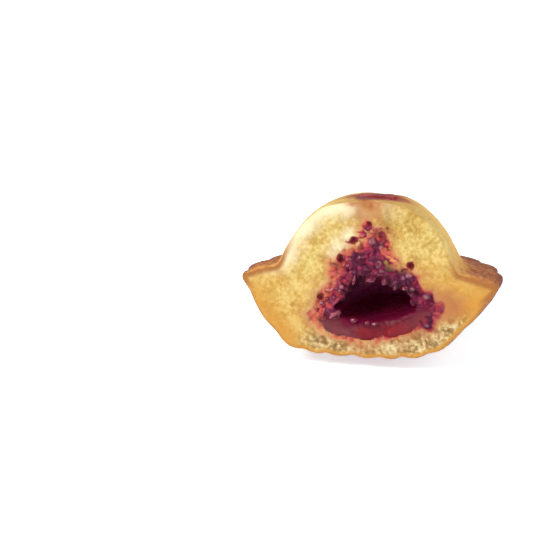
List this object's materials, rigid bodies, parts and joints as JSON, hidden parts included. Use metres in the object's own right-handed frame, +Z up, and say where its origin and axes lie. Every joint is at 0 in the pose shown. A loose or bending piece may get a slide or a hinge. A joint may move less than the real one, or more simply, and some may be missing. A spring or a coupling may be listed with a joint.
{
  "type": "madeleine cake",
  "caption": "Madeleine cake cut in half across: ribbed shell side, domed top, thin scalloped rim, a cut face with jam lying in a hollow, and a spot of jam on top.",
  "frame": {"origin": "centre of the bounding box's underside, on the surface that the half cake rests on", "axes": "+X across the cake, to the right as the cut is seen; -Y out of the cut face, which leans back; +Y to the rounded tip; +Z up"},
  "size_m": [0.0492, 0.0442, 0.0322],
  "materials": {
    "sponge": "baked sponge cake, golden brown crust and pale open crumb",
    "jam": "wet dark red fruit jam"
  },
  "bodies": {
    "root": {"cake": "sponge", "jam_filling": "jam", "jam_spot": "jam"}
  },
  "joints": []
}
